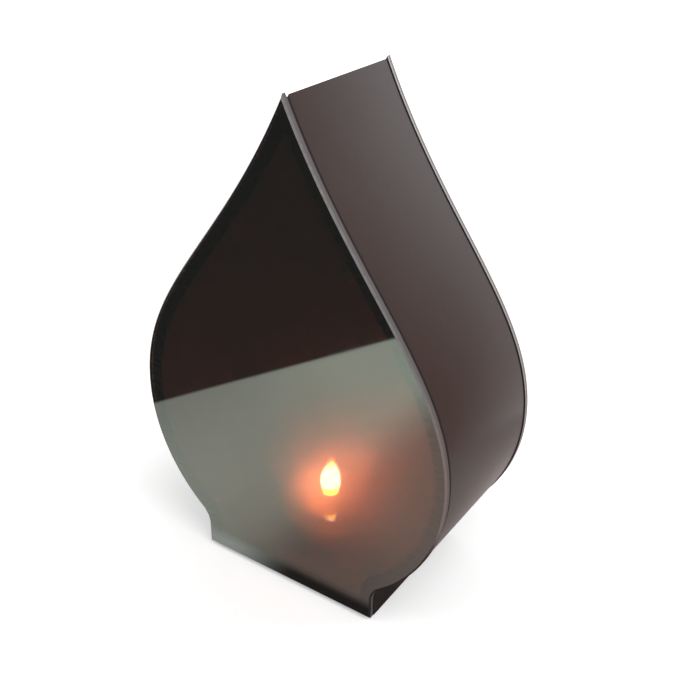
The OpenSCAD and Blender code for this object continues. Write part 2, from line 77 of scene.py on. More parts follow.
def outline_side(inset, bottom):
    """Right side of the flame outline moved inwards by inset, from the foot up to the middle
    plane: an upright line, a hollow arc round the neck's centre, an arc round the belly's centre
    and a cubic curve to the tip, each moved along its own normal, then spaced evenly."""
    neck_end = math.atan2(BELLY_Z - NECK_Z, FOOT_R + NECK_R)
    a = np.linspace(math.pi, math.pi - neck_end, 60)
    neck = np.c_[FOOT_R + NECK_R + (NECK_R + inset) * np.cos(a), NECK_Z + (NECK_R + inset) * np.sin(a)]
    b = np.linspace(-neck_end, 0, 240)[1:]
    belly = np.c_[(BELLY_R - inset) * np.cos(b), BELLY_Z + (BELLY_R - inset) * np.sin(b)]
    u = np.linspace(0, 1, 400)[1:, None]
    p = np.array([[BELLY_R, BELLY_Z], [BELLY_R, BELLY_Z + SHOULDER_PULL],
                  [TIP_PULL * math.sin(TIP_ANGLE), TIP_Z - TIP_PULL * math.cos(TIP_ANGLE)], [0, TIP_Z]])
    at = (1 - u) ** 3 * p[0] + 3 * u * (1 - u) ** 2 * p[1] + 3 * u * u * (1 - u) * p[2] + u ** 3 * p[3]
    along = (1 - u) ** 2 * (p[1] - p[0]) + 2 * u * (1 - u) * (p[2] - p[1]) + u * u * (p[3] - p[2])
    normal = np.c_[along[:, 1], -along[:, 0]] / np.linalg.norm(along, axis=1)[:, None]
    flank = at - inset * normal
    side = np.vstack([[[FOOT_R - inset, bottom]], neck, belly, flank])
    # the side ends where it crosses the middle plane
    k = int(np.argmax(side[:, 0] <= 0)) if (side[:, 0] <= 0).any() else len(side) - 1
    share = side[k - 1, 0] / (side[k - 1, 0] - side[k, 0]) if side[k, 0] < side[k - 1, 0] else 1.0
    tip = side[k - 1] + share * (side[k] - side[k - 1])
    tip[0] = 0.0
    side = np.vstack([side[:k], tip])
    run = np.r_[0, np.cumsum(np.linalg.norm(np.diff(side, axis=0), axis=1))]
    even = np.linspace(0, run[-1], SIDE_POINTS)
    return np.c_[np.interp(even, run, side[:, 0]), np.interp(even, run, side[:, 1])]


def grid_faces(rows, cols, start=0):
    """Quads of a grid of points numbered row by row."""
    i, j = np.meshgrid(np.arange(rows - 1), np.arange(cols - 1), indexing="ij")
    a = start + i * cols + j
    return np.stack([a, a + 1, a + cols + 1, a + cols], -1).reshape(-1, 4)


def closed_mesh(name, patches, materials):
    """One mesh from patches, each a grid (rows, cols, 3) in millimetres with the index of its
    material. Points that coincide are merged, so edges shared by patches close up."""
    points, faces, which = [], [], []
    start = 0
    for grid, index in patches:
        rows, cols = grid.shape[:2]
        points.append(grid.reshape(-1, 3))
        faces.append(grid_faces(rows, cols, start))
        which.append(np.full(len(faces[-1]), index))
        start += rows * cols
    mesh = bpy.data.meshes.new(name)
    mesh.from_pydata((np.vstack(points) * MM).tolist(), [], np.vstack(faces).tolist())
    for material in materials:
        mesh.materials.append(material)
    mesh.polygons.foreach_set("material_index", np.concatenate(which).astype(np.int32))
    bm = bmesh.new()
    bm.from_mesh(mesh)
    bmesh.ops.remove_doubles(bm, verts=bm.verts, dist=2e-6)
    bmesh.ops.dissolve_degenerate(bm, edges=bm.edges, dist=1e-7)
    bmesh.ops.recalc_face_normals(bm, faces=bm.faces)
    bm.to_mesh(mesh)
    bm.free()
    return mesh


def make_piece(name, patches, materials, body, replaced=(), sharp=35):
    """A smooth piece of the sconce, creased where faces meet at more than sharp degrees."""
    mesh = closed_mesh(name, patches, materials)
    mesh.polygons.foreach_set("use_smooth", np.ones(len(mesh.polygons), bool))
    mesh.set_sharp_from_angle(angle=math.radians(sharp))
    piece = bpy.data.objects.new(name, mesh)
    bpy.context.scene.collection.objects.link(piece)
    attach(piece, body)
    if replaced:
        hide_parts(*replaced)
    return piece


def slab_patches(profile, indices):
    """A flat plate in the flame outline. profile lists (inset, y) from the front face's edge over
    the rim to the rear face's edge; a cap is a ladder of rows between the two sides, and the rim
    carries the profile round the outline. indices are the materials of the front, of each step of
    the rim and of the rear."""
    def side(inset):
        return outline_side(inset, PLATE_Z + inset)

    patches = []
    across = np.linspace(-1, 1, CAP_COLS)
    for (inset, y), index in ((profile[0], indices[0]), (profile[-1], indices[-1])):
        s = side(inset)
        x = s[:, :1] * across
        z = np.repeat(s[:, 1:], CAP_COLS, 1)
        patches.append((np.stack([x, np.full_like(x, y), z], -1), index))
    right = np.stack([np.c_[side(i)[:, 0], np.full(SIDE_POINTS, y), side(i)[:, 1]] for i, y in profile], 1)
    left = right * [-1, 1, 1]
    foot = np.stack([np.c_[(FOOT_R - i) * across, np.full(CAP_COLS, y), np.full(CAP_COLS, PLATE_Z + i)]
                     for i, y in profile], 1)
    return patches + [(g[:, k:k + 2], index) for g in (right, left, foot)
                      for k, index in enumerate(indices[1:-1])]


def wall_patches(sign):
    """A side wall: the rectangle of sheet thickness and depth, its corners eased, carried along
    the outline from the foot to the ridge, and closed by a flat end at each. The first material
    is the outside's and the second the inside's."""
    outer, inner = OVERHANG, OVERHANG + SHEET_T
    ys = np.linspace(WALL_Y0 + EDGE_EASE, WALL_Y1 - EDGE_EASE, 24)
    n = len(ys)
    ring = ([(outer, y) for y in ys] + [(outer + EDGE_EASE, WALL_Y1), (inner - EDGE_EASE, WALL_Y1)]
            + [(inner, y) for y in ys[::-1]]
            + [(inner - EDGE_EASE, WALL_Y0), (outer + EDGE_EASE, WALL_Y0), (outer, ys[0])])
    # columns of the grid: n outside, 2 at the rear corner, n inside, 2 at the front corner and the
    # first again
    side = {inset: outline_side(inset, RIM_Z) for inset, y in ring}
    body = np.stack([np.c_[side[inset][:, 0] * sign, np.full(SIDE_POINTS, y), side[inset][:, 1]]
                     for inset, y in ring], 1)
    patches = [(body[:, :n + 2], 0), (body[:, n + 1:2 * n + 3], 1), (body[:, 2 * n + 2:], 0)]
    for end in (body[0], body[-1]):
        patches.append((np.stack([end[:n], end[n + 2:2 * n + 2][::-1]]), 0))
        for a, b, c, d in ((n - 1, n, n + 2, n + 1), (0, 2 * n + 3, 2 * n + 1, 2 * n + 2)):
            patches.append((np.stack([end[[a, b]], end[[c, d]]]), 0))
    return patches


def turned(profile, steps=128):
    """A profile of (radius, height) carried once round the upright axis."""
    p = np.array(profile, float)
    a = np.linspace(0, 2 * math.pi, steps + 1)
    a[-1] = 0
    return np.stack([p[:, :1] * np.cos(a), p[:, :1] * np.sin(a), np.repeat(p[:, 1:], steps + 1, 1)], -1)


def eased(points, radius, steps=5):
    """A polyline whose inner corners are rounded with a quadratic curve of the given reach."""
    p = np.array(points, float)
    curve = [p[0]]
    for before, at, after in zip(p[:-2], p[1:-1], p[2:]):
        r = min(radius, 0.45 * np.linalg.norm(at - before), 0.45 * np.linalg.norm(after - at))
        a = at + (before - at) / np.linalg.norm(before - at) * r
        b = at + (after - at) / np.linalg.norm(after - at) * r
        t = np.linspace(0, 1, steps)[:, None]
        curve += list((1 - t) ** 2 * a + 2 * t * (1 - t) * at + t * t * b)
    return np.array(curve + [p[-1]])


# ---- materials ----

GLASS_IOR = 1.45
COAT_SHARE = 0.76                # of the pane's front that mirrors
HAZE_SHARE = 0.56                # of what passes the coat that its haze softens
FILM_SHARE = 0.44                # of what passes the rear face that its drawn film softens
FILM_TILT = math.radians(28)     # of the film's lines from upright
HEART_LIGHT = 110.0              # strength of the flame's core
SKIN_LIGHT = 30.0                # strength of the flame's skin


class Sock:
    """A socket whose arithmetic adds Math nodes to its material."""

    def __init__(self, finish, socket):
        self.finish, self.socket = finish, socket

    def math(self, operation, *others):
        """A Math node on this socket and the others."""
        return self.finish.math(operation, self, *others)

    def __add__(self, other):
        return self.math("ADD", other)

    def __sub__(self, other):
        return self.math("SUBTRACT", other)

    def __rsub__(self, other):
        return self.finish.math("SUBTRACT", other, self)

    def __mul__(self, other):
        return self.math("MULTIPLY", other)

    def __truediv__(self, other):
        return self.math("DIVIDE", other)

    def __rtruediv__(self, other):
        return self.finish.math("DIVIDE", other, self)

    def __pow__(self, other):
        return self.math("POWER", other)

    def __rpow__(self, other):
        return self.finish.math("POWER", other, self)

    def step(self, low, high):
        """0 below low, 1 above high and smooth between them."""
        return self.finish.node("ShaderNodeMapRange", {"interpolation_type": "SMOOTHSTEP"},
                                {"Value": self, "From Min": low, "From Max": high})

    __radd__ = __add__
    __rmul__ = __mul__


class Finish:
    """A material and the one method that makes its nodes."""

    def __init__(self, name):
        self.material = bpy.data.materials.new(name)
        self.material.use_nodes = True
        self.tree = self.material.node_tree
        self.tree.nodes.clear()

    def node(self, kind, settings=None, values=None, out=0):
        """A node with its settings, then the values or links of its sockets; gives its output."""
        made = self.tree.nodes.new(kind)
        for key, value in (settings or {}).items():
            if key == "stops":
                ramp = made.color_ramp
                while len(ramp.elements) < len(value):
                    ramp.elements.new(0.5)
                for element, (at, colour) in zip(ramp.elements, value):
                    element.position, element.color = at, (*colour, 1)
            else:
                setattr(made, key, value)
        for key, value in (values or {}).items():
            socket = made.inputs[key]
            if isinstance(value, Sock):
                self.tree.links.new(value.socket, socket)
            elif socket.type == "RGBA":
                socket.default_value = (*value, 1)
            else:
                socket.default_value = value
        return Sock(self, made.outputs[out] if made.outputs else None)

    def math(self, operation, *operands):
        """A Math node on sockets or numbers."""
        return self.node("ShaderNodeMath", {"operation": operation}, dict(enumerate(operands)))

    def place(self):
        """The point on the object, in metres."""
        return self.node("ShaderNodeTexCoord", out="Object")

    def axes(self):
        """The three numbers of the point on the object."""
        split = self.node("ShaderNodeSeparateXYZ", values={0: self.place()})
        return [Sock(self, axis) for axis in split.socket.node.outputs]

    def noise(self, per_metre, detail=2.0, stretch=(1, 1, 1), rough=0.5, seed=0.0):
        """Cloud noise with about per_metre cells to the metre along each axis."""
        where = self.node("ShaderNodeMapping", values={
            "Vector": self.place(), "Scale": stretch, "Location": (seed, seed * 0.7, seed * 1.3)})
        return self.node("ShaderNodeTexNoise", values={
            "Vector": where, "Scale": per_metre, "Detail": detail, "Roughness": rough})

    def mix(self, share, a, b):
        """Colour a where share is 0 and b where it is 1. The node has sockets of one name for
        each kind of value, so the colours' are given by number."""
        return self.node("ShaderNodeMix", {"data_type": "RGBA"}, {0: share, 6: a, 7: b}, out=2)

    def bump(self, height, depth, strength=1.0):
        """Normals of a relief of the given depth in metres."""
        return self.node("ShaderNodeBump", values={
            "Height": height, "Distance": depth, "Strength": strength})

    def principled(self, **values):
        """A Principled shader with the given sockets, their names written with underscores."""
        return self.node("ShaderNodeBsdfPrincipled",
                         values={k.replace("_", " "): v for k, v in values.items()})

    def glass(self, **values):
        """A Principled shader that lets light through."""
        return self.principled(IOR=GLASS_IOR, Transmission_Weight=1.0, **values)

    def blend(self, share, a, b):
        """Shader a where share is 0 and b where it is 1."""
        return self.node("ShaderNodeMixShader", values={0: share, 1: a, 2: b})

    def end(self, shader):
        """Ends the material in the shader."""
        self.node("ShaderNodeOutputMaterial", values={"Surface": shader})
        return self.material

    def done(self, **values):
        """Ends the material in one Principled shader."""
        return self.end(self.principled(**values))

    def shine(self, colour):
        """Ends the material in plain light of the given colour."""
        return self.end(self.node("ShaderNodeEmission", values={"Color": colour, "Strength": 1.0}))


def smoked_mirror():
    """Front of the pane: most of it a half-mirror coat with faint wiping marks and a very slight
    wave; the rest lets light through, part of it softened by the coat's haze."""
    f = Finish("smoked_mirror")
    smear = f.noise(14, 3, (1, 1, 0.35), 0.6, 3).step(0.45, 0.75)
    specks = f.noise(900, 1, seed=9).step(0.74, 0.80)
    ripple = f.bump(f.noise(9, 1, seed=5), 0.0004, 0.4)
    coat = f.principled(
        Base_Color=f.mix(smear * 0.5, (0.278, 0.292, 0.275), (0.303, 0.314, 0.298)),
        Metallic=1.0,
        Roughness=smear * 0.03 + specks * 0.1 + 0.02,
        Normal=ripple)
    clear = f.glass(Base_Color=(1.0, 0.98, 0.96), Roughness=0.0)
    haze = f.glass(Base_Color=(1.0, 0.15, 0.03), Roughness=0.74)
    return f.end(f.blend(COAT_SHARE, f.blend(HAZE_SHARE, clear, haze), coat))


def glass_rear():
    """Rear face of the pane: glass, in part covered by a film drawn in fine slanting lines, which
    spreads light across them."""
    f = Finish("glass_rear")
    clear = f.glass(Base_Color=f.mix(f.noise(20, 1), (0.93, 0.92, 0.91), (0.97, 0.96, 0.95)), Roughness=0.0)
    tilted = f.node("ShaderNodeMapping", values={"Vector": f.place(), "Rotation": (0.0, FILM_TILT, 0.0)})
    drawn = f.node("ShaderNodeMapping", values={"Vector": tilted, "Scale": (1.0, 1.0, 0.004)})
    lines = f.node("ShaderNodeTexNoise", values={"Vector": drawn, "Scale": 20000.0, "Detail": 0.0})
    film = f.glass(Base_Color=(1.0, 0.16, 0.03), Roughness=0.54, Normal=f.bump(lines, 0.00008))
    return f.end(f.blend(FILM_SHARE, clear, film))


def ground_edge():
    """Edge of the glass, ground matt."""
    f = Finish("ground_edge")
    grain = f.noise(2500, 2, (1, 1, 1), 0.7, 2)
    drag = f.noise(260, 2, (1, 8, 1), 0.6, 7)
    return f.done(
        Base_Color=f.mix(grain * 0.6 + drag * 0.4, (0.060, 0.056, 0.056), (0.115, 0.108, 0.107)),
        Roughness=grain * 0.15 + 0.42,
        Normal=f.bump(grain, 0.00004, 0.6))


def polished_arris():
    """The narrow bevel round the pane's front, polished and silvered with the coat."""
    f = Finish("polished_arris")
    drag = f.noise(300, 2, (1, 1, 1), 0.6, 4)
    return f.done(
        Base_Color=f.mix(drag, (0.34, 0.32, 0.32), (0.46, 0.44, 0.44)),
        Metallic=1.0,
        Roughness=drag * 0.12 + 0.16,
        Normal=f.bump(drag, 0.00002, 0.3))


def bronze_paint():
    """Satin red-brown black paint on sheet steel: fine orange peel, faint cloudiness and wiping."""
    f = Finish("bronze_paint")
    cloud = f.noise(11, 4, seed=1, rough=0.55)
    peel = f.noise(850, 2, seed=4, rough=0.6)
    flake = f.noise(5200, 1, seed=6).step(0.62, 0.72)
    return f.done(
        Base_Color=f.mix(cloud + flake * 0.25, (0.028, 0.0195, 0.018), (0.042, 0.031, 0.029)),
        Metallic=0.25,
        Roughness=cloud * 0.05 + peel * 0.04 + 0.20,
        Normal=f.bump(peel, 0.00006, 0.3))


def plate_paint():
    """Back plate: satin dark paint."""
    f = Finish("plate_paint")
    cloud = f.noise(13, 4, seed=2, rough=0.55)
    peel = f.noise(800, 2, seed=5)
    return f.done(
        Base_Color=f.mix(cloud, (0.040, 0.034, 0.034), (0.060, 0.052, 0.051)),
        Metallic=0.2,
        Roughness=cloud * 0.1 + peel * 0.06 + 0.36,
        Normal=f.bump(peel, 0.00006, 0.35))


def drawn_edge(name, low, high):
    """Cut edge of the back plate, left bare and drawn lengthways."""
    f = Finish(name)
    drag = f.noise(420, 3, (1, 6, 1), 0.6, 3)
    return f.done(
        Base_Color=f.mix(drag, low, high),
        Metallic=0.35,
        Roughness=drag * 0.2 + 0.35,
        Normal=f.bump(drag, 0.00005, 0.5))


def powder_black(name, low, high, rough=0.55):
    """Black powder paint with fine grain."""
    f = Finish(name)
    grain = f.noise(1600, 3, seed=8, rough=0.65)
    cloud = f.noise(18, 3, seed=3)
    return f.done(
        Base_Color=f.mix(cloud * 0.6 + grain * 0.4, low, high),
        Roughness=grain * 0.2 + rough,
        Normal=f.bump(grain, 0.00005, 0.6))


def rubber(name, low, high, rough):
    """Moulded rubber: dusty black with a fine matt skin."""
    f = Finish(name)
    skin = f.noise(2200, 2, seed=1, rough=0.7)
    dust = f.noise(60, 4, seed=6).step(0.5, 0.8)
    return f.done(
        Base_Color=f.mix(dust * 0.7 + skin * 0.3, low, high),
        Roughness=skin * 0.15 + rough,
        Normal=f.bump(skin, 0.00006, 0.7))


def turned_metal(name, low, high, rough, rings):
    """Bright metal with the fine rings of the lathe and faint clouding."""
    f = Finish(name)
    lathe = f.noise(rings, 2, (0.02, 0.02, 1), 0.5, 2)
    cloud = f.noise(140, 3, seed=4)
    return f.done(
        Base_Color=f.mix(cloud, low, high),
        Metallic=1.0,
        Roughness=lathe * 0.16 + cloud * 0.08 + rough,
        Normal=f.bump(lathe, 0.00003, 0.5))


def gloss_plastic(name, low, high, rough, coat=0.0):
    """Moulded plastic with a polished skin."""
    f = Finish(name)
    flow = f.noise(70, 3, seed=2)
    return f.done(
        Base_Color=f.mix(flow, low, high),
        Roughness=flow * 0.06 + rough,
        Coat_Weight=coat,
        Normal=f.bump(f.noise(500, 1, seed=3), 0.00002, 0.3))


def dark_chrome():
    """Candle body: plastic with a smoked chrome skin, mirror bright and almost black."""
    f = Finish("candle_chrome")
    flow = f.noise(70, 3, seed=2)
    return f.done(
        Base_Color=f.mix(flow, (0.15, 0.135, 0.13), (0.19, 0.17, 0.16)),
        Metallic=1.0,
        Roughness=flow * 0.03 + 0.02,
        Normal=f.bump(f.noise(500, 1, seed=3), 0.00001, 0.3))


def circuit_green():
    """Circuit board: green mask over copper tracks."""
    f = Finish("board_green")
    tracks = f.node("ShaderNodeTexBrick", {"offset": 0.5}, {
        "Vector": f.place(), "Scale": 320.0, "Mortar Size": 0.012, "Color1": (0.02, 0.10, 0.04),
        "Color2": (0.025, 0.12, 0.05), "Mortar": (0.05, 0.22, 0.09)})
    return f.done(Base_Color=tracks, Roughness=f.noise(300, 1) * 0.1 + 0.28)


def flame_height(f):
    """0 at the flame's foot and 1 at the top of its wisp."""
    return (f.axes()[2] - COLLAR_TOP * MM) / (FLAME_H * MM)


def flame_skin():
    """Lit outer flame: yellow at the foot, orange above, thinner towards the wisp."""
    f = Finish("flame_skin")
    up = flame_height(f)
    lick = f.noise(160, 2, (1, 1, 0.35), 0.5, 2)
    colour = f.node("ShaderNodeValToRGB", {"stops": [
        (0.0, (1.0, 0.50, 0.10)), (0.2, (1.0, 0.34, 0.07)), (0.55, (1.0, 0.24, 0.05)),
        (1.0, (1.0, 0.16, 0.04))]}, {"Fac": up + lick * 0.2 - 0.1})
    return f.done(
        Base_Color=(0.9, 0.4, 0.12), Roughness=0.3,
        Emission_Color=colour, Emission_Strength=SKIN_LIGHT,
        Alpha=(0.34 - up * 0.20) * (lick * 0.5 + 0.75))


def flame_heart():
    """Inner flame: orange light, so strong that it shows white."""
    f = Finish("flame_heart")
    up = flame_height(f)
    colour = f.node("ShaderNodeValToRGB", {"stops": [
        (0.0, (1.0, 0.45, 0.0)), (0.17, (1.0, 0.50, 0.01)), (0.21, (1.0, 0.84, 0.66)),
        (0.60, (1.0, 0.84, 0.66)), (0.74, (1.0, 0.55, 0.03))]}, {"Fac": up + f.noise(200, 1) * 0.06 - 0.03})
    return f.done(Base_Color=(1.0, 0.8, 0.5), Roughness=0.4,
                  Emission_Color=colour, Emission_Strength=HEART_LIGHT)


satin_plate = plate_paint()
bare_edge = drawn_edge("bare_edge", (0.15, 0.138, 0.136), (0.24, 0.225, 0.22))
# a lighter copy of the drawn edge: a painted highlight along the back plate's edge
painted_edge_highlight = drawn_edge("painted_edge_highlight", (0.34, 0.32, 0.31), (0.50, 0.475, 0.465))
inner_black = powder_black("inner_black", (0.008, 0.008, 0.008), (0.018, 0.017, 0.017))
inner_gloss = powder_black("inner_gloss", (0.004, 0.004, 0.004), (0.010, 0.009, 0.009), 0.20)
cup_black = powder_black("cup_paint", (0.030, 0.026, 0.026), (0.050, 0.044, 0.043), 0.34)
seal_rubber = rubber("black_seal", (0.006, 0.006, 0.006), (0.014, 0.013, 0.013), 0.6)
soft_rubber = rubber("black_rubber", (0.014, 0.014, 0.014), (0.045, 0.043, 0.041), 0.62)
zinc = turned_metal("zinc_steel", (0.50, 0.50, 0.52), (0.66, 0.66, 0.67), 0.24, 900)
aluminium = turned_metal("turned_aluminium", (0.62, 0.62, 0.64), (0.74, 0.74, 0.75), 0.22, 1500)
candle_gloss = gloss_plastic("candle_plastic", (0.012, 0.010, 0.010), (0.024, 0.020, 0.019), 0.10, 0.6)
switch_plastic = gloss_plastic("switch_black", (0.012, 0.012, 0.012), (0.022, 0.022, 0.022), 0.4)
lamp_plastic = gloss_plastic("lamp_plastic", (0.9, 0.7, 0.4), (0.95, 0.8, 0.5), 0.12)
cell_steel = turned_metal("cell_steel", (0.60, 0.60, 0.61), (0.74, 0.74, 0.74), 0.2, 1200)
brass = turned_metal("contact_brass", (0.62, 0.42, 0.16), (0.78, 0.56, 0.26), 0.26, 700)

# ---- glass and band ----

make_piece(
    "glass_pane",
    slab_patches([(ARRIS, FRONT_Y), (0, FRONT_Y + ARRIS), (0, FRONT_Y + GLASS_T - ARRIS),
                  (ARRIS, FRONT_Y + GLASS_T)], (0, 3, 2, 2, 1)),
    [smoked_mirror(), glass_rear(), ground_edge(), polished_arris()],
    "housing", ["front_glass"], 25)

bronze = bronze_paint()
for name, sign, node in (("left_band", -1, "left_wall"), ("right_band", 1, "right_wall")):
    make_piece(name, wall_patches(sign), [bronze, inner_gloss], "housing", [node], 40)


# ---- back plate, drilled for its screws and keyholes ----

def drill(piece, bits):
    """Takes the bits' volumes out of the piece and keeps the result as its mesh."""
    for bit in bits:
        step = piece.modifiers.new("cut", "BOOLEAN")
        step.operation, step.solver, step.object = "DIFFERENCE", "EXACT", bit
        step.material_mode = "TRANSFER"
    bpy.context.view_layer.update()
    cut = bpy.data.meshes.new_from_object(piece.evaluated_get(bpy.context.evaluated_depsgraph_get()))
    piece.modifiers.clear()
    whole, piece.data = piece.data, cut
    cut.name = whole.name
    bpy.data.meshes.remove(whole)
    for bit in bits:
        bpy.data.objects.remove(bit)


def drill_bit(profile, x, z, rise=0.0):
    """A closed turned body on an axis along Y at x and z, its profile given as (radius, y); with
    a rise its upper half is drawn upwards, which makes it a slot with round ends."""
    grid = turned([(0, profile[0][1]), *profile, (0, profile[-1][1])], 64)[..., [0, 2, 1]]
    grid[..., 2] += np.where(grid[..., 2] > 1e-6, rise, 0.0)
    made = bpy.data.objects.new("bit", closed_mesh("bit", [(grid + [x, 0, z], 0)], [bare_edge]))
    bpy.context.scene.collection.objects.link(made)
    return made


def screw_places():
    """Centres (x, z) of the back screws' heads: points of their outer faces that lie within a
    head's width of each other are one head."""
    vertices = nodes["back_screws"].data.vertices
    points = np.empty(3 * len(vertices), np.float32)
    vertices.foreach_get("co", points)
    points = points.reshape(-1, 3).astype(float) / MM
    heads = points[points[:, 1] > BACK_Y - 0.1][:, [0, 2]]
    apart = np.linalg.norm(heads[:, None] - heads[None], axis=-1)
    first = (apart < SCREW_HEAD_W).argmax(1)
    return [(heads[first == k].min(0) + heads[first == k].max(0)) / 2 for k in np.unique(first)]


# the edge's first 0.9 mm after the arris next to the band, and the rear arris, take the lighter copy of the
# edge finish: a painted highlight
back = make_piece(
    "back_sheet",
    slab_patches([(0.3, WALL_Y1), (0, WALL_Y1 + 0.3), (0, WALL_Y1 + 1.2), (0, BACK_Y - 0.6),
                  (0.6, BACK_Y)], (3, 0, 2, 1, 2, 0)),
    [satin_plate, bare_edge, painted_edge_highlight, inner_black],
    "housing", ["back_plate"], 30)

FRONT_CUT, REAR_CUT = WALL_Y1 - 1, BACK_Y + 1
drill(back, [drill_bit([(r, FRONT_CUT), (r, REAR_CUT)], x, KEYHOLE_Z, rise)
             for x in (-KEYHOLE_X, KEYHOLE_X)
             for r, rise in ((KEYHOLE_R, 0.0), (KEYHOLE_SLOT_R, KEYHOLE_RISE))]
      + [drill_bit([(SCREW_HOLE_R, FRONT_CUT), (SCREW_HOLE_R, BACK_Y - SINK_DEPTH), (SINK_R, BACK_Y),
                    (SINK_R, REAR_CUT)], x, z) for x, z in screw_places()])
back.data.set_sharp_from_angle(angle=math.radians(30))

# ---- battery candle: polished dome with a collar, and the lit flame on it ----

angle = np.linspace(math.acos(CANDLE_R / DOME_R), math.acos((COLLAR_R + 1.6) / DOME_R), 28)
dome = np.c_[DOME_R * np.cos(angle), DOME_Z + DOME_R * np.sin(angle)]
INNER_R, BORE_R = DOME_R - CANDLE_T, 3.6
angle = np.linspace(math.acos(BORE_R / INNER_R), math.acos((CANDLE_R - CANDLE_T) / INNER_R), 24)
under = np.c_[INNER_R * np.cos(angle), DOME_Z + INNER_R * np.sin(angle)]
shell = np.vstack([
    eased([(CANDLE_R - CANDLE_T, SEAT_Z), (CANDLE_R - 0.3, SEAT_Z), (CANDLE_R, SEAT_Z + 0.4),
           (CANDLE_R, CANDLE_RIM_Z - 0.4), tuple(dome[1])], 0.6),
    dome[2:],
    eased([(COLLAR_R + 0.9, dome[-1][1] + 0.15), (COLLAR_R, DOME_Z + DOME_R + 0.9),
           (COLLAR_R, COLLAR_TOP), (BORE_R, COLLAR_TOP)], 0.5),
    under, [(CANDLE_R - CANDLE_T, SEAT_Z)]])
make_piece("candle_body", [(turned(shell), 0)], [dark_chrome()], "candle",
           ["candle_shell"], 50)


def flame_patches(scale, foot, top, lean, taper=1.6, lick=0.0):
    """A lit flame: half-width rises from foot to the waist as a sine, then falls as the taper's
    power of a cosine to a thin wisp; the axis leans to +X with the square of the height, three
    shallow lobes run up the sides, and one small lick, a bell in height and angle, stands out."""
    s = np.linspace(0, 1, 90)[:, None]
    waist = 0.38
    low = foot + (1 - foot) * np.sin(0.5 * math.pi * np.minimum(s / waist, 1))
    high = np.cos(0.5 * math.pi * np.clip((s - waist) / (1 - waist), 0, 1)) ** taper
    half = FLAME_W / 2 * scale * np.where(s < waist, low, high)
    a = np.linspace(0, 2 * math.pi, 97)
    a[-1] = 0
    turn = (a + 0.25 + math.pi) % (2 * math.pi) - math.pi
    lobes = (1 + 0.05 * np.sin(3 * a + 5 * s) * s * (1 - s) * 4
             + lick * np.exp(-((s - 0.55) / 0.05) ** 2 - (turn / 0.4) ** 2))
    x = half * lobes * np.cos(a) + lean * s ** 2
    y = half * lobes * np.sin(a)
    z = np.broadcast_to(COLLAR_TOP + (top - COLLAR_TOP) * s, x.shape)
    body = np.stack([x, y, z], -1)
    floor = np.stack([np.broadcast_to([0.0, 0.0, COLLAR_TOP], body[0].shape), body[0]])
    return [(body, 0), (floor, 0)]


make_piece("flame_outer", flame_patches(1.0, 0.74, COLLAR_TOP + FLAME_H, 1.6), [flame_skin()],
           "candle", ["flame_tip"], 60)
make_piece("flame_inner", flame_patches(0.95, 0.66, COLLAR_TOP + FLAME_H * 0.80, 1.1, 1.1, 0.22),
           [flame_heart()], "candle", (), 60)

# ---- finishes of the pieces whose construction shape stays ----

for material, kept in (
        (inner_black, "front_flange rear_flange keyhole_pockets foot_floor"),
        (seal_rubber, "glass_seal"),
        (soft_rubber, "cup_grommet rubber_feet"),
        (zinc, "back_nuts back_screws feet_screws feet_nuts knob_stud"),
        (cup_black, "candle_cup cup_base"),
        (aluminium, "pull_knob"),
        (lamp_plastic, "led_lamp"),
        (circuit_green(), "candle_board"),
        (switch_plastic, "switch_body switch_slider"),
        (candle_gloss, "candle_base battery_door"),
        (cell_steel, "coin_cell"),
        (brass, "plus_contact minus_contact")):
    for node in kept.split():
        nodes[node].data.materials.clear()
        nodes[node].data.materials.append(material)

# ---- the stage ----

FLOOR = 6.0                      # half the floor's side, in metres
FLOOR_GLOW = 1.08                # of the floor far from the sconce
# two points of the edge where the painted dark reflection begins, on the floor, in metres
NEAR_EDGE, FAR_EDGE = np.array([-0.2329, -0.1709]), np.array([-0.1195, -0.4008])
WALL_HALF, WALL_AT, WALL_TOP = 1.2, 0.25, 1.4       # of the sheet that paints the wall reflection, in metres


def stage_sheet(name, corners, material):
    """A flat four-sided sheet of the stage, its corners in metres."""
    mesh = bpy.data.meshes.new(name)
    mesh.from_pydata(corners, [], [tuple(range(len(corners)))])
    mesh.materials.append(material)
    sheet = bpy.data.objects.new(name, mesh)
    bpy.context.scene.collection.objects.link(sheet)
    return sheet


def mirrored_only(sheet):
    """Keeps a sheet for glossy rays alone."""
    sheet.visible_camera = sheet.visible_diffuse = sheet.visible_shadow = False
    sheet.visible_transmission = sheet.visible_volume_scatter = False


def pale_floor():
    """Floor that the camera sees brighter than it is lit, also through glass, and dimmer near the
    sconce: a painted shadow round its foot."""
    f = Finish("pale_floor")
    seen = f.node("ShaderNodeLightPath").socket.node.outputs
    look = f.math("MAXIMUM", Sock(f, seen["Is Camera Ray"]), Sock(f, seen["Is Transmission Ray"]))
    x, y = f.axes()[:2]
    gap = (x * x + y * y) ** 0.5
    near, far = gap.step(0.08, 0.2), gap.step(0.25, 1.2)
    # near lowers the glow close to the sconce: a painted shadow round its foot
    glow = look * (far * 0.6 + near * 0.12 + 0.36)
    return f.done(Base_Color=(0.80, 0.80, 0.80), Roughness=0.9, Specular_IOR_Level=0.0,
                  Emission_Color=f.mix(glow / FLOOR_GLOW, (0.0, 0.0, 0.0), (1.0, 1.0, 1.0)),
                  Emission_Strength=FLOOR_GLOW)


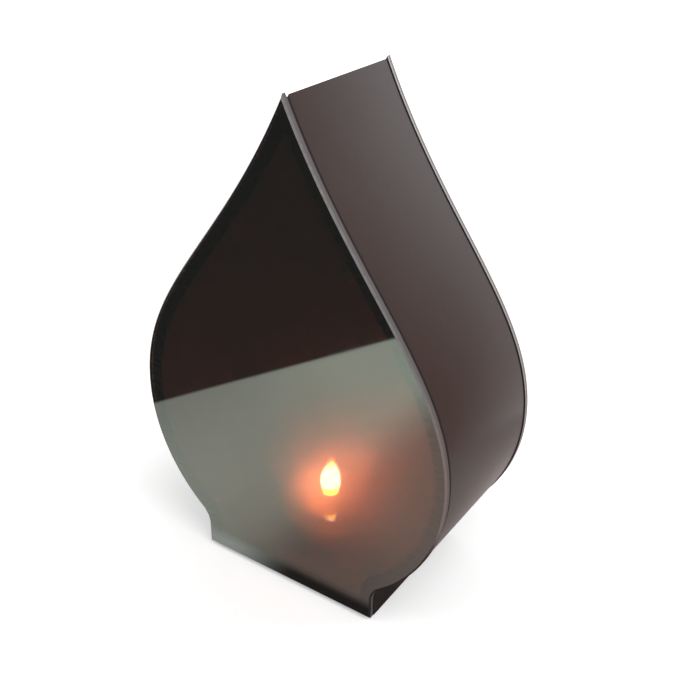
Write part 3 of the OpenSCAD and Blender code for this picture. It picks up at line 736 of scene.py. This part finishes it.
def painted_floor_reflection():
    """A painted reflection of the floor for metal and glass: bright far from the sconce, with painted
    shadow at its foot and right behind it, and a painted dark room beyond a straight line."""
    f = Finish("painted_floor_reflection")
    x, y = f.axes()[:2]
    gap = (x * x + (y - FRONT_Y * MM) * (y - FRONT_Y * MM)) ** 0.5
    # the gap steps dim the reflection towards the sconce's foot: a painted shadow
    left = f.mix(gap.step(0.02, 0.14), (0.60, 0.62, 0.55), (0.78, 0.82, 0.74))
    left = f.mix(y.step(-0.20, -0.34), left, (0.88, 0.98, 0.87))
    left = f.mix(x.step(-0.14, -0.24), left, (0.62, 0.67, 0.60))
    right = f.mix(gap.step(0.03, 0.12), (0.32, 0.26, 0.25), (0.52, 0.39, 0.36))
    front = f.mix(x.step(-0.065, 0.0), left, right)
    beside = f.mix(y.step(0.0, 0.14), (0.36, 0.30, 0.29), (0.64, 0.55, 0.53))
    # nearly black beside the sconce's right foot, under its belly: a painted shadow
    beside = f.mix(y.step(-0.02, 0.01), (0.05, 0.045, 0.045), beside)
    behind = f.mix(x.step(-0.06, 0.0), (0.95, 0.97, 0.95), beside)
    to_rear = y.step(-0.074, -0.064)
    lit = f.mix(to_rear, front, behind)
    # distance past the edge of the painted dark reflection, away from the sconce
    along = (FAR_EDGE - NEAR_EDGE) / np.linalg.norm(FAR_EDGE - NEAR_EDGE)
    away = np.array([along[1], -along[0]])
    away = away if away @ NEAR_EDGE > 0 else -away
    past = (x - NEAR_EDGE[0]) * float(away[0]) + (y - NEAR_EDGE[1]) * float(away[1])
    # beyond the edge, a near-black painted reflection of a dark room
    dark = past.step(-0.003, 0.003) * (1 - to_rear)
    return f.shine(f.mix(dark, lit, (0.046, 0.046, 0.047)))


def painted_wall_reflection():
    """A painted reflection of a rear wall for metal: bright on the left, dim and brown to the right of
    a slanting line."""
    f = Finish("painted_wall_reflection")
    x, _, z = f.axes()
    bright = f.mix(z.step(0.0, 0.24), (1.0, 0.95, 0.95), (2.0, 2.0, 2.05))
    return f.shine(f.mix((x + z * 0.3).step(0.19, 0.41), bright, (0.46, 0.22, 0.16)))


floor_corners = [(-FLOOR, -FLOOR, 0), (FLOOR, -FLOOR, 0), (FLOOR, FLOOR, 0), (-FLOOR, FLOOR, 0)]
stage_sheet("floor", floor_corners, pale_floor()).visible_glossy = False
mirrored_only(stage_sheet("gloss_floor", floor_corners, painted_floor_reflection()))
mirrored_only(stage_sheet(
    "gloss_wall", [(-WALL_HALF, WALL_AT, 0), (WALL_HALF, WALL_AT, 0), (WALL_HALF, WALL_AT, WALL_TOP),
                   (-WALL_HALF, WALL_AT, WALL_TOP)], painted_wall_reflection()))

# ---- light and camera ----

scene = bpy.context.scene
world = bpy.data.worlds.new("soft_room")
scene.world = world
world.use_nodes = True
world.node_tree.nodes["Background"].inputs["Color"].default_value = (1.0, 0.99, 0.98, 1)
world.node_tree.nodes["Background"].inputs["Strength"].default_value = 0.45


def area_lamp(name, place, aim, size, power):
    """A square soft lamp at place that shines at aim."""
    data = bpy.data.lights.new(name, "AREA")
    data.size, data.energy = size, power
    made = bpy.data.objects.new(name, data)
    made.location = place
    made.rotation_euler = (Vector(aim) - Vector(place)).to_track_quat("-Z", "Y").to_euler()
    scene.collection.objects.link(made)
    return made


area_lamp("key_lamp", (0.9, -0.5, 1.6), (0, 0, 0.15), 1.0, 14)
area_lamp("fill_lamp", (-1.2, -1.0, 1.3), (0, 0, 0.15), 1.2, 8)
area_lamp("rear_lamp", (0.95, 1.0, 0.75), (0, 0, 0.2), 0.8, 8).visible_glossy = False

AZIMUTH, ELEVATION, ROLL = (math.radians(v) for v in (32.931, 29.779, 1.491))
CAMERA_PLACE, LENS = (0.3208, -0.4766, 0.4897), 51.507
backwards = Vector((math.sin(AZIMUTH) * math.cos(ELEVATION), -math.cos(AZIMUTH) * math.cos(ELEVATION),
                    math.sin(ELEVATION)))
level = (-backwards).cross(Vector((0, 0, 1))).normalized()
upright = level.cross(-backwards)
rightwards = math.cos(ROLL) * level + math.sin(ROLL) * upright
upwards = -math.sin(ROLL) * level + math.cos(ROLL) * upright
camera_data = bpy.data.cameras.new("camera")
camera_data.sensor_width, camera_data.lens = 36.0, LENS
camera_data.clip_start, camera_data.clip_end = 0.01, 50
camera = bpy.data.objects.new("camera", camera_data)
scene.collection.objects.link(camera)
camera.matrix_world = (Matrix.Translation(CAMERA_PLACE)
                       @ Matrix((rightwards, upwards, backwards)).transposed().to_4x4())
scene.camera = camera
scene.view_settings.view_transform = "Standard"
